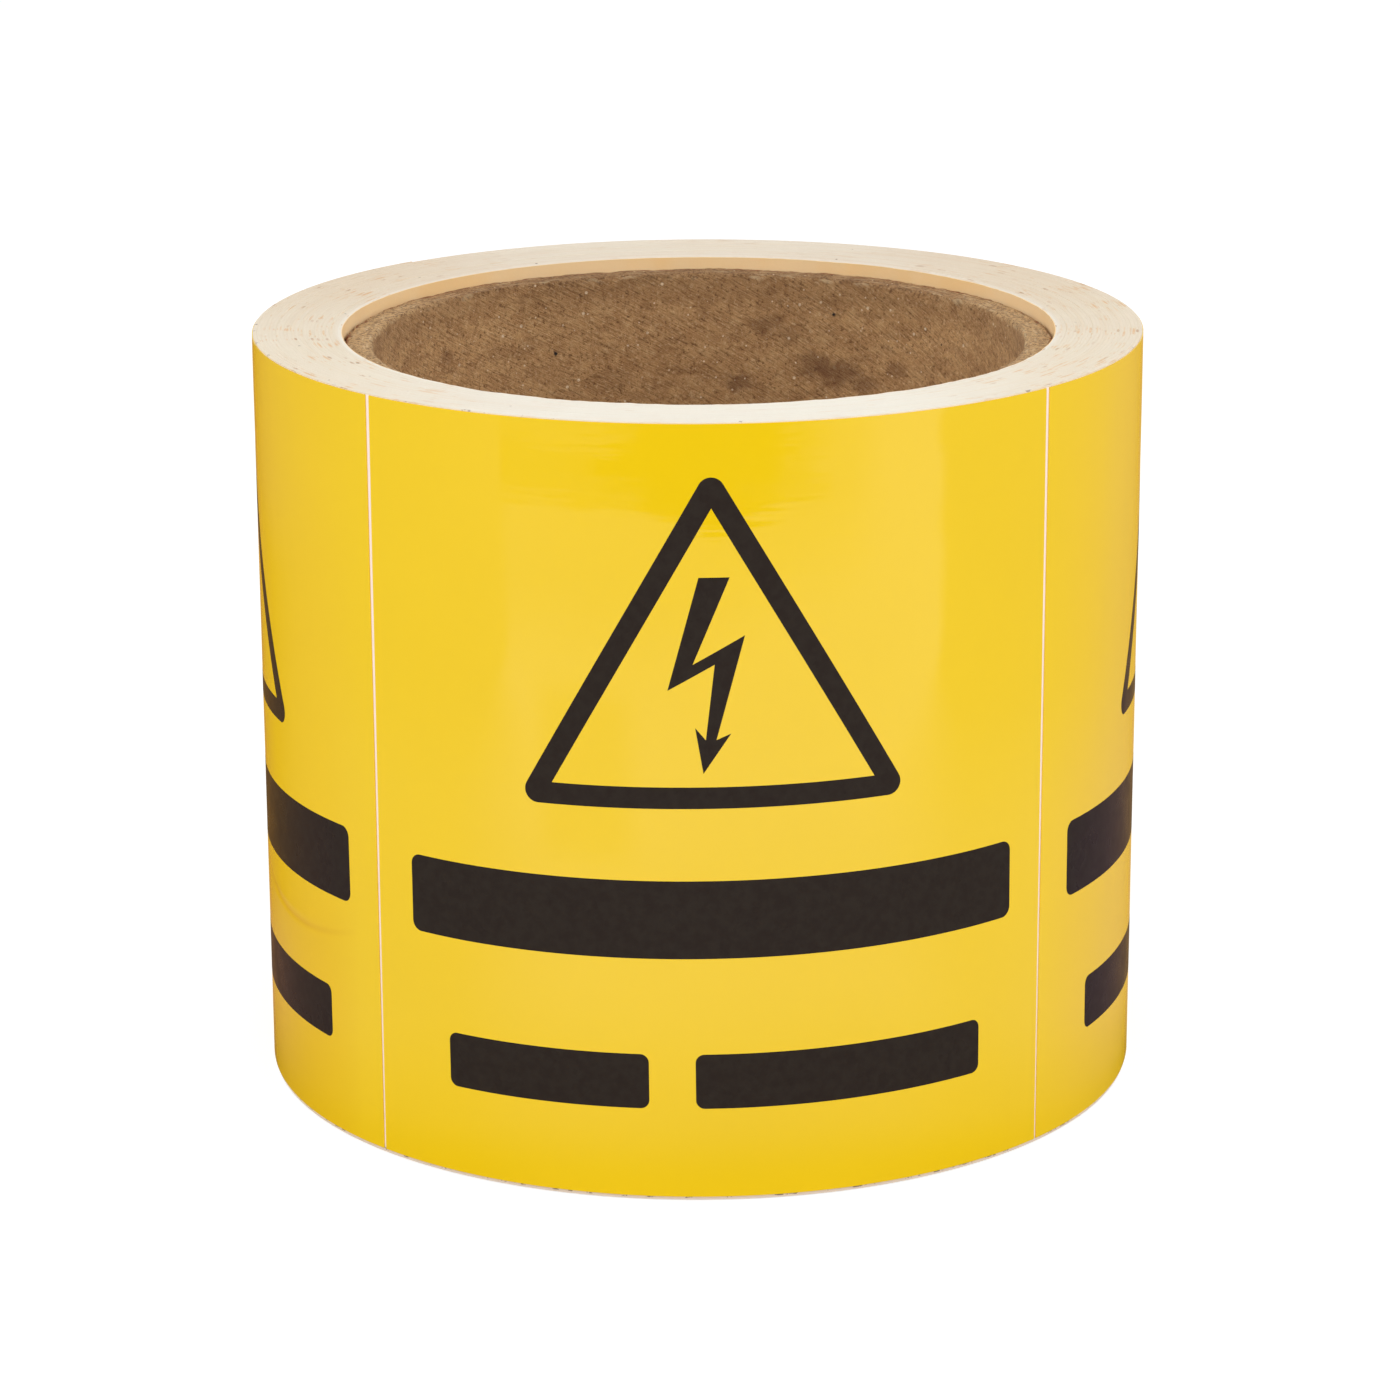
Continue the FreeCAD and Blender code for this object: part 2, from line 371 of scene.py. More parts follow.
def triangulate(outlines, grid):
    """Flat triangles that fill the outlines, no larger than the grid."""
    outlines = [divided(o, grid) for o in outlines]
    points = [Vector(p) for o in outlines for p in o]
    edges, first = [], 0
    for o in outlines:
        edges += [(first + k, first + (k + 1) % len(o)) for k in range(len(o))]
        first += len(o)
    xs, ys = [p.x for p in points], [p.y for p in points]
    near = grid * 0.35
    border = np.array([tuple(p) for p in points])
    for x in np.arange(min(xs), max(xs), grid):
        for y in np.arange(min(ys), max(ys), grid):
            if inside((x, y), outlines) and np.min(np.hypot(*(border - (x, y)).T)) > near:
                points.append(Vector((x, y)))
    flat, _, found, _, _, _ = delaunay_2d_cdt(points, edges, [], 0, 1e-5)
    kept = []
    for face in found:
        middle = sum((flat[k] for k in face), Vector((0, 0))) / len(face)
        if inside(tuple(middle), outlines):
            kept.append(list(face))
    return [tuple(p) for p in flat], kept


def make_print(name, shape, number):
    """Closed film of ink on a label, for one shape of the print."""
    flat, found = FLAT_PRINT[shape]
    middle = (number + 0.5) * LABEL_PITCH
    lean = math.radians(PRINT_TILT)
    used = sorted({k for face in found for k in face})
    order = {k: n for n, k in enumerate(used)}
    points, faces = [], []
    for outer in (True, False):
        for k in used:
            x, y = flat[k][0], flat[k][1] - PRINT_MIDDLE
            along = x * math.cos(lean) - y * math.sin(lean)
            height = PRINT_MIDDLE + x * math.sin(lean) + y * math.cos(lean)
            turned = middle + math.degrees(along / LINER_RADIUS)
            radius = face_radius(turned, height) + (INK if outer else -INK_ROOT)
            points.append(at(radius, turned, height))
    count = len(used)
    sides = {}
    for face in found:
        here = [order[k] for k in face]
        faces.append(here)
        faces.append([k + count for k in here[::-1]])
        for a, b in zip(here, here[1:] + here[:1]):
            sides[(a, b)] = True
    for a, b in sides:
        if (b, a) not in sides:
            faces.append([a, a + count, b + count, b])
    return piece(f"{name}_{shape}", points, faces, "label_vinyl", smooth_below=30)


# The core

GRAIN_LEAN = 0.0456        # turn of the board's grain in radians per millimetre of height
GRAIN_STRETCH = 0.45
CORE_COLUMNS = 900
CORE_ROWS = 44             # rows of points down the bore
CORE_PLAY = 0.06           # space between core and winding
RIM_STEPS = 9              # rings of points across the worn upper rim
SEAM_ANGLE = 214           # where the bore's winding seam meets the rim
SEAM_LEAN = 9              # degrees that the seam turns per millimetre
SEAM_WIDTH = 6             # in degrees


def make_core():
    """Closed tube of board, with a worn, ragged upper rim and a low seam down its bore."""
    def ring_noise(seed, length):
        values = bumpy(seed, CORE_COLUMNS + 1, length)
        values[-1] = values[0]
        return values

    outer = BORE_RADIUS - CORE_PLAY
    worn, soft, torn, bitten = (ring_noise(71 + k, length) for k, length in enumerate((9, 42, 2.5, 6)))
    rim_noise = [ring_noise(80 + k, 2.2) for k in range(RIM_STEPS + 1)]
    points, faces, grain = [], [], []
    for c in range(CORE_COLUMNS):
        turned = c * 360 / CORE_COLUMNS
        fade = min(1.0, 12 * math.sin(math.pi * c / CORE_COLUMNS))
        gap = (0.10 + 0.30 * max(0.0, bitten[c]) + 0.16 * (1 + torn[c])) * fade
        lip = (0.45 + 0.24 * torn[c - 7] + 0.20 * worn[c - 20]) * fade
        sag = 0.05 + (0.05 * worn[c] + 0.04 * soft[c]) * fade
        profile = [(outer, 0.35), (outer, CORE_TOP - 0.75), (outer - gap * 0.7, CORE_TOP - 0.30 - sag)]
        start, end = outer - gap - 0.1, CORE_RADIUS + lip
        for k in range(RIM_STEPS + 1):
            rough = 0.035 * (1 + rim_noise[k][c] * fade)
            profile.append((start + (end - start) * k / RIM_STEPS, CORE_TOP - sag - rough))
        profile += [(CORE_RADIUS + lip * 0.35, CORE_TOP - sag - 0.22),
                    (CORE_RADIUS + 0.03, CORE_TOP - sag - 0.5)]
        for row in range(CORE_ROWS + 1):
            height = CORE_TOP - 0.8 - (CORE_TOP - 1.3) * row / CORE_ROWS
            seam = (turned - SEAM_ANGLE + (CORE_TOP - height) * SEAM_LEAN) % 360
            dent = 0.05 * max(0.0, 1 - abs(seam - SEAM_WIDTH) / SEAM_WIDTH)
            profile.append((CORE_RADIUS + dent + 0.012 * math.sin(seam / 9), height))
        profile += [(CORE_RADIUS + 0.12, 0.15), (CORE_RADIUS + 0.35, 0.0),
                    (outer - 0.3, 0.0), (outer - 0.1, 0.1)]
        for radius, height in profile:
            points.append(at(radius, turned, height))
            lean = math.degrees(-GRAIN_LEAN * height)
            grain += at(radius, turned + lean, height * GRAIN_STRETCH)
    n = len(profile)
    for c in range(CORE_COLUMNS):
        d = (c + 1) % CORE_COLUMNS
        for j in range(n):
            k = (j + 1) % n
            faces.append([c * n + j, d * n + j, d * n + k, c * n + k])
    made = piece("core_tube", points, faces, "core_board", "core", smooth_below=50)
    made.data.attributes.new("grain", "FLOAT_VECTOR", "POINT").data.foreach_set("vector", grain)
    return made


# Materials

class Look:
    """A node material that is built line by line."""

    def __init__(self, name, **settings):
        self.material = bpy.data.materials.new(name)
        self.material.use_nodes = True
        self.tree = self.material.node_tree
        self.shader = self.tree.nodes["Principled BSDF"]
        for key, value in settings.items():
            self.shader.inputs[key.replace("_", " ")].default_value = value
        self.place = self.add("ShaderNodeTexCoord").outputs["Object"]

    def add(self, kind, settings=None, **inputs):
        """Node with its settings, and its inputs set or linked, by name or as i0, i1 and so on."""
        made = self.tree.nodes.new(kind)
        for key, value in (settings or {}).items():
            setattr(made, key, value)
        for key, value in inputs.items():
            numbered = key[0] == "i" and key[1:].isdigit()
            socket = made.inputs[int(key[1:]) if numbered else key]
            if isinstance(value, bpy.types.NodeSocket):
                self.tree.links.new(value, socket)
            else:
                socket.default_value = value
        return made

    def noise(self, scale, detail=3.0, roughness=0.55, shift=0.0, distortion=0.0, place=None,
              upwards=1.0):
        """Noise over the object, in features per metre."""
        place = self.add("ShaderNodeMapping", Vector=place or self.place, Location=(shift, 0, 0),
                         Scale=(1, 1, upwards)).outputs[0]
        return self.add("ShaderNodeTexNoise", Vector=place, Scale=scale, Detail=detail,
                        Roughness=roughness, Distortion=distortion).outputs["Fac"]

    def cells(self, scale, shift=0.0):
        """Distance to the nearest of scattered points."""
        place = self.add("ShaderNodeMapping", Vector=self.place, Location=(shift, 0, 0)).outputs[0]
        return self.add("ShaderNodeTexVoronoi", Vector=place, Scale=scale).outputs["Distance"]

    def round_place(self, turn):
        """Place on an end face: its way round the roll and its distance from the axis, in metres."""
        spun = self.add("ShaderNodeMapping", Vector=self.place, Rotation=(0, 0, -math.radians(turn)))
        parts = self.add("ShaderNodeSeparateXYZ", Vector=spun.outputs[0])
        angle = self.math("ARCTAN2", parts.outputs["Y"], parts.outputs["X"])
        way = self.math("MULTIPLY", angle, LINER_RADIUS * MM)
        return self.add("ShaderNodeCombineXYZ", X=way, Y=self.radius(), Z=0.0).outputs[0]

    def dashes(self, turn, length, width, share):
        """Short strokes along the turns, scattered in cells of a length and a width in metres."""
        place = self.add("ShaderNodeMapping", Vector=self.round_place(turn),
                         Scale=(1 / length, 1 / width, 1))
        found = self.add("ShaderNodeTexVoronoi", {"voronoi_dimensions": "2D"}, Vector=place.outputs[0],
                         Scale=1.0)
        chosen = self.add("ShaderNodeSeparateXYZ", Vector=found.outputs["Color"]).outputs["X"]
        stroke = self.ramp(found.outputs["Distance"], 0.26, 0.14)
        return self.math("MULTIPLY", stroke, self.ramp(chosen, share + 0.02, share))

    def radius(self):
        """Distance from the roll's axis, in metres."""
        flat = self.add("ShaderNodeMapping", Vector=self.place, Scale=(1, 1, 0)).outputs[0]
        return self.add("ShaderNodeVectorMath", {"operation": "LENGTH"}, i0=flat).outputs["Value"]

    def axis(self, name):
        """One of the object's coordinates, in metres."""
        return self.add("ShaderNodeSeparateXYZ", Vector=self.place).outputs[name]

    def spot(self, centre, radius, edge, flat=1.0):
        """1 in a blot round a point, in millimetres, with an edge that a noise makes uneven."""
        middle = [-value * MM * scale for value, scale in zip(centre, (1, 1, flat))]
        near = self.add("ShaderNodeMapping", Vector=self.place, Location=middle, Scale=(1, 1, flat))
        away = self.add("ShaderNodeVectorMath", {"operation": "LENGTH"},
                        i0=near.outputs[0]).outputs["Value"]
        rough = self.math("MULTIPLY", self.math("SUBTRACT", edge, 0.5), radius * 1.8 * MM)
        return self.ramp(self.math("ADD", away, rough), radius * 1.15 * MM, radius * 0.35 * MM)

    def ramp(self, value, low, high, to_low=0.0, to_high=1.0):
        """Value carried from one range to another, and held at its ends."""
        if low > high:
            low, high, to_low, to_high = high, low, to_high, to_low
        return self.add("ShaderNodeMapRange", {"interpolation_type": "SMOOTHSTEP"}, Value=value,
                        i1=low, i2=high, i3=to_low, i4=to_high).outputs[0]

    def math(self, kind, one, two=0.0):
        """Sum, product or other step on two values."""
        return self.add("ShaderNodeMath", {"operation": kind}, i0=one, i1=two).outputs[0]

    def mix(self, share, one, two, kind="MIX"):
        """Two colours mixed."""
        made = self.add("ShaderNodeMix", {"data_type": "RGBA", "blend_type": kind})
        for index, value in ((0, share), (6, one), (7, two)):
            if isinstance(value, bpy.types.NodeSocket):
                self.tree.links.new(value, made.inputs[index])
            else:
                made.inputs[index].default_value = value
        return made.outputs[2]

    def attribute(self, name):
        """Value that the mesh carries at each point."""
        return self.add("ShaderNodeAttribute", {"attribute_name": name}).outputs["Fac"]

    def set(self, name, value):
        """Link a value to the shader."""
        self.tree.links.new(value, self.shader.inputs[name])

    def relief(self, value, depth, strength=1.0):
        """Small relief of the surface, in metres."""
        bump = self.add("ShaderNodeBump", Height=value, Distance=depth, Strength=strength)
        self.set("Normal", bump.outputs[0])


def srgb(red, green, blue):
    """Colour of a shader from its values on a screen, from 0 to 255."""
    def linear(value):
        value /= 255
        return value / 12.92 if value <= 0.04045 else ((value + 0.055) / 1.055) ** 2.4
    return (linear(red), linear(green), linear(blue), 1.0)


# Strokes on the paper's cut edges: length and width of a cell in metres, share of the cells
# that have one, strength and colour
DASHES = [(0.0085, 0.00075, 0.35, 0.80, srgb(226, 182, 128)),
          (0.0120, 0.00050, 0.40, 0.60, srgb(230, 194, 146)),
          (0.0040, 0.00080, 0.12, 0.75, srgb(190, 146, 102)),
          (0.0028, 0.00040, 0.40, 0.55, srgb(224, 184, 134))]
DASH_SEAM = TAIL_ANGLE + 180    # where their pattern starts and ends, out of the photo's view


def paper_look():
    """Coated liner paper, seen on the cut edges of its turns."""
    look = Look("liner_paper", Roughness=0.62)
    tint = look.attribute("tint")
    groove = look.ramp(tint, -0.35, -1.0)
    tan = look.ramp(tint, 0.15, 0.8)
    fine = look.noise(2600, 4, 0.7)
    sides = look.ramp(look.math("ABSOLUTE", look.axis("X")), 0.018, 0.044)
    patchy = look.ramp(look.noise(190, 3, 0.6, shift=3.0), 0.44, 0.62)
    colour = look.mix(look.ramp(look.noise(55, 2), 0.35, 0.65), srgb(243, 237, 223), srgb(240, 232, 217))
    colour = look.mix(look.math("MULTIPLY", sides, 0.55), colour, srgb(233, 214, 184))
    colour = look.mix(look.math("MULTIPLY", tan, 0.22), colour, srgb(232, 206, 170))
    colour = look.mix(look.math("MULTIPLY", groove, 0.16), colour, srgb(220, 194, 160))
    lip = look.ramp(look.radius(), (BORE_RADIUS + 0.9) * MM, (BORE_RADIUS + 0.3) * MM, 0.0, 0.55)
    colour = look.mix(lip, colour, srgb(250, 245, 234))
    for length, width, share, strength, shade in DASHES:
        stroke = look.math("MULTIPLY", look.dashes(DASH_SEAM, length, width, share), patchy)
        stroke = look.math("MULTIPLY", stroke, look.ramp(sides, 0.0, 1.0, strength * 0.25, strength))
        colour = look.mix(stroke, colour, shade)
    colour = look.mix(look.ramp(fine, 0.60, 0.78, 0.0, 0.3), colour, srgb(214, 190, 158))
    colour = look.mix(look.ramp(fine, 0.42, 0.30, 0.0, 0.35), colour, srgb(254, 250, 240))
    specks = look.ramp(look.cells(260), 0.055, 0.035)
    colour = look.mix(look.math("MULTIPLY", specks, 0.75), colour, srgb(128, 98, 66))
    brink = look.ramp(look.radius(), (LINER_RADIUS - 0.55) * MM, (LINER_RADIUS - 0.30) * MM)
    nicked = look.ramp(look.noise(620, 3, 0.7, shift=2.0), 0.60, 0.68, 0.0, 0.7)
    colour = look.mix(look.math("MULTIPLY", brink, nicked), colour, srgb(140, 122, 108))
    rear = look.ramp(look.axis("Y"), -0.020, 0.045)
    colour = look.mix(rear, colour, srgb(244, 237, 230), "MULTIPLY")
    bore = look.ramp(look.radius(), (BORE_RADIUS + 0.16) * MM, (BORE_RADIUS + 0.11) * MM)
    wall = look.mix(look.ramp(look.noise(120, 3), 0.35, 0.65), srgb(255, 216, 155), srgb(255, 222, 170))
    colour = look.mix(bore, colour, wall)
    outer = look.ramp(look.radius(), (LINER_RADIUS - 0.62) * MM, (LINER_RADIUS - 0.56) * MM)
    below = look.ramp(look.axis("Z"), (LINER_TOP - 0.20) * MM, (LINER_TOP - 0.26) * MM)
    nicks = look.ramp(look.noise(700, 3, 0.7, shift=6.0), 0.54, 0.62, 0.0, 0.85)
    low = look.ramp(look.axis("Z"), 0.9 * MM, 0.5 * MM)
    face = look.mix(low, srgb(255, 236, 229), srgb(232, 214, 198))
    high_in_gap = look.math("MULTIPLY", low, look.ramp(look.axis("Z"), 0.22 * MM, 0.38 * MM))
    face = look.mix(look.math("MULTIPLY", high_in_gap, nicks), face, srgb(104, 74, 46))
    colour = look.mix(look.math("MULTIPLY", outer, below), colour, face)
    look.set("Base Color", colour)
    look.relief(fine, 0.00004)
    return look.material


def vinyl_look():
    """Glossy yellow vinyl, with painted shade along the left label's crease."""
    look = Look("yellow_vinyl", IOR=1.5)
    broad = look.noise(30, 2)
    colour = look.mix(look.ramp(broad, 0.3, 0.7), srgb(248, 207, 16), srgb(246, 205, 14))
    # Painted shade along the crease, read from the mesh
    painted_shade = look.math("MULTIPLY", look.attribute("crease"), 0.8)
    look.set("Base Color", look.mix(painted_shade, colour, srgb(228, 176, 8)))
    look.set("Roughness", look.ramp(look.noise(160, 3), 0.3, 0.7, 0.03, 0.05))
    waves = look.math("ADD", look.noise(38, 3, 0.6, upwards=6.0),
                      look.math("MULTIPLY", look.noise(60, 2, upwards=14.0), 0.4))
    waves = look.math("ADD", waves, look.math("MULTIPLY", look.noise(420, 2), 0.10))
    look.relief(waves, 0.000012)
    return look.material


def ink_look():
    """Near-black print under the same gloss."""
    look = Look("dark_print", IOR=1.1)
    fine = look.noise(900, 3)
    colour = look.mix(look.ramp(fine, 0.3, 0.7), srgb(46, 38, 34), srgb(50, 43, 38))
    flecks = look.ramp(look.cells(130), 0.022, 0.012, 0.0, 0.8)
    look.set("Base Color", look.mix(flecks, colour, srgb(150, 140, 128)))
    look.set("Roughness", look.ramp(look.noise(300, 3), 0.3, 0.7, 0.26, 0.34))
    look.relief(fine, 0.000004)
    return look.material


# Stains in the bore: place, radius and strength
STAINS = [((15.6, 34.6, 76.2), 3.0, 0.50), ((18.6, 33.1, 75.4), 3.6, 0.55),
          ((21.2, 31.5, 74.4), 2.4, 0.45), ((6.3, 37.4, 73.4), 2.2, 0.55),
          ((9.8, 36.7, 80.8), 2.6, 0.40), ((12.0, 36.0, 79.6), 2.0, 0.3),
          ((-30.0, 23.3, 80.0), 1.6, 0.35), ((25.4, 28.2, 76.6), 1.8, 0.35),
          ((-9.0, 36.9, 74.0), 2.4, 0.2)]
SPECKS = [((17.8, 33.6, 82.7), 0.32), ((-16.8, 34.1, 78.0), 0.3), ((30.3, 22.8, 81.0), 0.2)]

# Strokes on the rim, where the board's plies show: length and width of a cell in metres,
# strength and colour
PLIES = [(0.0140, 0.0009, 0.25, srgb(118, 84, 52)), (0.0070, 0.0006, 0.50, srgb(240, 212, 168)),
         (0.0024, 0.0007, 0.30, srgb(100, 70, 44))]
# Pale flecks of the board: how many to a metre, and a shift that keeps them apart
FLECKS = [(330, 0.0), (520, 5.0), (610, 8.0)]


def board_look():
    """Brown board of the core: mottled, with light fibres, stains and a pale worn rim, and painted shade
    in the middle of the bore, near its top and along the gap to the winding.
    """
    look = Look("core_board", Roughness=0.9)
    leaning = look.add("ShaderNodeAttribute", {"attribute_name": "grain"}).outputs["Vector"]
    mottle = look.noise(420, 6, 0.72, distortion=0.4)
    grain = look.noise(900, 5, 0.7, place=leaning)
    fibres = look.noise(2400, 3, 0.6, place=leaning, shift=0.4)
    felt = look.noise(1900, 5, 0.75)
    bands = look.noise(210, 4, 0.6, shift=0.7, upwards=2.2)
    colour = look.mix(look.ramp(mottle, 0.34, 0.66), srgb(190, 144, 95), srgb(214, 169, 116))
    colour = look.mix(look.ramp(bands, 0.50, 0.66, 0.0, 0.38), colour, srgb(148, 106, 66))
    colour = look.mix(look.ramp(bands, 0.48, 0.34, 0.0, 0.30), colour, srgb(204, 164, 116))
    colour = look.mix(look.ramp(grain, 0.46, 0.32, 0.0, 0.35), colour, srgb(134, 94, 58))
    colour = look.mix(look.ramp(grain, 0.55, 0.72, 0.0, 0.3), colour, srgb(208, 168, 120))
    colour = look.mix(look.ramp(fibres, 0.46, 0.34, 0.0, 0.45), colour, srgb(120, 80, 46))
    colour = look.mix(look.ramp(fibres, 0.56, 0.68, 0.0, 0.40), colour, srgb(222, 186, 138))
    colour = look.mix(look.ramp(felt, 0.54, 0.66, 0.0, 0.75), colour, srgb(230, 194, 148))
    colour = look.mix(look.ramp(felt, 0.46, 0.35, 0.0, 0.75), colour, srgb(110, 72, 42))
    for centre, radius, strength in STAINS:
        stain = look.math("MULTIPLY", look.spot(centre, radius, mottle, 1.5), strength)
        colour = look.mix(stain, colour, srgb(104, 62, 36))
    height = look.axis("Z")
    edge = look.math("ADD", height, look.math("MULTIPLY", look.math("SUBTRACT", grain, 0.5), 0.0025))
    rim = look.ramp(edge, (CORE_TOP - 0.8) * MM, (CORE_TOP - 0.2) * MM)
    sideways = look.ramp(look.math("ABSOLUTE", look.axis("X")), 0.028, 0.040, 0.0, 0.8)
    worn = look.math("MULTIPLY", rim, sideways)
    unworn = look.math("MULTIPLY", look.math("SUBTRACT", rim, worn), 0.2)
    colour = look.mix(unworn, colour, srgb(122, 84, 52))
    colour = look.mix(worn, colour, srgb(228, 187, 133))
    crumbs = look.noise(2600, 4, 0.75, shift=4.0)
    pale_crumbs = look.math("MULTIPLY", worn, look.ramp(crumbs, 0.52, 0.62, 0.0, 0.8))
    colour = look.mix(pale_crumbs, colour, srgb(246, 210, 156))
    dark_crumbs = look.math("MULTIPLY", rim, look.ramp(crumbs, 0.48, 0.40, 0.0, 0.8))
    colour = look.mix(dark_crumbs, colour, srgb(108, 70, 38))
    for length, width, strength, shade in PLIES:
        plies = look.math("MULTIPLY", look.dashes(DASH_SEAM, length, width, 0.7), strength)
        colour = look.mix(look.math("MULTIPLY", rim, plies), colour, shade)
    # Painted shade: the board is darker in the middle of the bore than at its sides
    middle = look.ramp(look.math("ABSOLUTE", look.axis("X")), 0.032, 0.012)
    colour = look.mix(middle, colour, srgb(239, 238, 237), "MULTIPLY")
    # Painted shade: the board is darker over the top few millimetres of the core
    painted_top_shade = look.ramp(height, (CORE_TOP - 5.0) * MM, (CORE_TOP - 1.5) * MM)
    colour = look.mix(painted_top_shade, colour, srgb(236, 234, 232), "MULTIPLY")
    for scale, shift in FLECKS:
        flecks = look.ramp(look.cells(scale, shift), 0.085, 0.045, 0.0, 0.85)
        colour = look.mix(flecks, colour, srgb(240, 218, 184))
    pits = look.ramp(look.cells(480, 3.0), 0.060, 0.035, 0.0, 0.6)
    colour = look.mix(pits, colour, srgb(84, 56, 36))
    # Painted shade: a ragged darker brown line along the gap between the core and the winding
    rough = look.noise(300, 5, 0.75, shift=9.0)
    uneven = look.math("MULTIPLY", look.math("SUBTRACT", rough, 0.5), 0.0030)
    ragged = look.math("ADD", look.radius(), uneven)
    gap = look.ramp(ragged, (BORE_RADIUS - 0.75) * MM, (BORE_RADIUS - 0.35) * MM, 0.0, 0.9)
    colour = look.mix(gap, colour, srgb(138, 82, 42))
    for centre, radius in SPECKS:
        colour = look.mix(look.spot(centre, radius, felt), colour, srgb(30, 22, 18))
    look.set("Base Color", colour)
    look.relief(look.math("ADD", look.math("ADD", fibres, felt), mottle), 0.00025)
    return look.material


# Floor, light and camera

FLOOR_SIZE = 3.0           # half a side, in metres
FLOOR_DROP = 0.05          # how far it lies below the roll, in millimetres
FLOOR_SHADE = 0.8          # how much light it throws back on the roll
SEEN_SHADE = 0.42          # what the camera sees of that, so that the shadow stays
SEEN_GLOW = 0.74           # and a glow that makes the rest white


def seen_directly(tree):
    """1 where a ray from the camera, a mirror or glass meets the surface, else 0."""
    path = tree.nodes.new("ShaderNodeLightPath")
    found = path.outputs["Is Camera Ray"]
    for ray in ("Is Glossy Ray", "Is Transmission Ray"):
        either = tree.nodes.new("ShaderNodeMath")
        either.operation = "MAXIMUM"
        tree.links.new(found, either.inputs[0])
        tree.links.new(path.outputs[ray], either.inputs[1])
        found = either.outputs[0]
    return found


def bare_material(name):
    """Node material that has no shader yet, and its node tree."""
    material = bpy.data.materials.new(name)
    material.use_nodes = True
    tree = material.node_tree
    tree.nodes.remove(tree.nodes["Principled BSDF"])
    return material, tree


def surroundings(name, points, faces, material):
    """Mesh object that isn't part of the roll."""
    mesh = bpy.data.meshes.new(name)
    mesh.from_pydata(points, [], faces)
    mesh.materials.append(material)
    made = bpy.data.objects.new(name, mesh)
    bpy.context.scene.collection.objects.link(made)
    return made


def make_floor():
    """Plain white floor that keeps the roll's soft shadow."""
    material, tree = bare_material("floor_white")
    matt = tree.nodes.new("ShaderNodeBsdfDiffuse")
    matt.inputs["Color"].default_value = (FLOOR_SHADE, FLOOR_SHADE, FLOOR_SHADE, 1)
    shown = tree.nodes.new("ShaderNodeBsdfDiffuse")
    shown.inputs["Color"].default_value = (SEEN_SHADE, SEEN_SHADE, SEEN_SHADE, 1)
    glow = tree.nodes.new("ShaderNodeEmission")
    glow.inputs["Strength"].default_value = SEEN_GLOW
    both = tree.nodes.new("ShaderNodeAddShader")
    tree.links.new(shown.outputs[0], both.inputs[0])
    tree.links.new(glow.outputs[0], both.inputs[1])
    mix = tree.nodes.new("ShaderNodeMixShader")
    tree.links.new(seen_directly(tree), mix.inputs[0])
    tree.links.new(matt.outputs[0], mix.inputs[1])
    tree.links.new(both.outputs[0], mix.inputs[2])
    tree.links.new(mix.outputs[0], tree.nodes["Material Output"].inputs["Surface"])
    corners = [(-FLOOR_SIZE, -FLOOR_SIZE), (FLOOR_SIZE, -FLOOR_SIZE),
               (FLOOR_SIZE, FLOOR_SIZE), (-FLOOR_SIZE, FLOOR_SIZE)]
    points = [(x, y, -FLOOR_DROP * MM) for x, y in corners]
    floor = surroundings("floor", points, [(0, 1, 2, 3)], material)


def step(value, low, high):
    """Smooth rise from 0 at the low value to 1 at the high one."""
    share = min(1.0, max(0.0, (value - low) / (high - low)))
    return share * share * (3 - 2 * share)


LENS = 118.8               # in millimetres
SENSOR = 36.0
CAMERA_DISTANCE = 530.0    # from the roll's axis, in millimetres
CAMERA_HEIGHT = 199.79
CAMERA_PITCH = 16.49       # degrees down
CAMERA_ROLL = -0.226
CAMERA_TURN = -1.7         # degrees round the roll, to the left of the front label's middle
CAMERA_CLIP = 0.01, 20     # nearest and farthest that it sees, in metres

# The floor card is laid out by the places of the labels that mirror it in the camera's view, and its glow
# is a
# painted reflection for their gloss: a level is a place's height, a facing its degrees round the roll
# from the camera, and an azimuth, twice the facing, the direction in which the card's spot lies
CARD_HEIGHT = 0.3          # above the roll's foot
CARD_LEVELS = np.concatenate([[CARD_HEIGHT], np.arange(0.6, 76, 0.6), np.arange(76, 90, 0.2),
                              np.arange(90, 97, 0.6)]).tolist()
CARD_FACINGS = [0.7 * k - 84 for k in range(241)]
CARD_MARGIN = 0.3          # how much further out than its mirror place a spot lies
CARD_TUCK = 1.5            # how far the card reaches in under the roll's edge
BACK_COLUMNS = 24          # columns of the card behind the roll, where nothing is mirrored
BACK_GLOW = 0.58
# Random unevenness by level: two fine ones for the wedge, a coarser one, and one for the borders
STREAKS = [bumpy(seed, len(CARD_LEVELS) + 40, length)
           for seed, length in ((91, 2.2), (95, 2.6), (92, 6), (93, 12))]
LEFT_WARM = (0.55, 0.30), (0.55, 0.27)     # red and green, beside the roll and behind it
RIGHT_WARM = (0.58, 0.37), (0.68, 0.40)
WINDOW_LEFT, WINDOW_RIGHT = -47.7, 60.7    # azimuths of the pale window's borders


def mirrored(facing, level):
    """Spot of the card in metres that the camera sees in the roll's face at a facing and a level."""
    side, front = math.sin(math.radians(facing)), -math.cos(math.radians(facing))
    towards = LINER_RADIUS + CAMERA_DISTANCE * front
    share = (level - CARD_HEIGHT) / (CAMERA_HEIGHT - level)
    x = LINER_RADIUS * side + share * (LINER_RADIUS - 2 * towards) * side
    y = LINER_RADIUS * front + share * (LINER_RADIUS * front + CAMERA_DISTANCE - 2 * towards * front)
    outward = MM * (1 + (CARD_MARGIN if share else -CARD_TUCK) / math.hypot(x, y))
    return x * outward, y * outward


def window_glow(level, azimuth):
    """Glow of the pale window in front, with a dimmer corner and a dim patch at its left."""
    rise = 0.25 * max(0.0, azimuth)
    glow = 1.32 + 0.16 * step(level, 34, 46) - 0.06 * step(level, 50, 60)
    glow -= 0.45 * step(level, 57 + rise, 73 + rise) * step(azimuth, 48, 35)
    across = step(azimuth, -43, -35) * step(azimuth, -12, -22)
    return glow * (1 - 0.32 * across * step(level, 37, 43) * step(level, 62, 56))


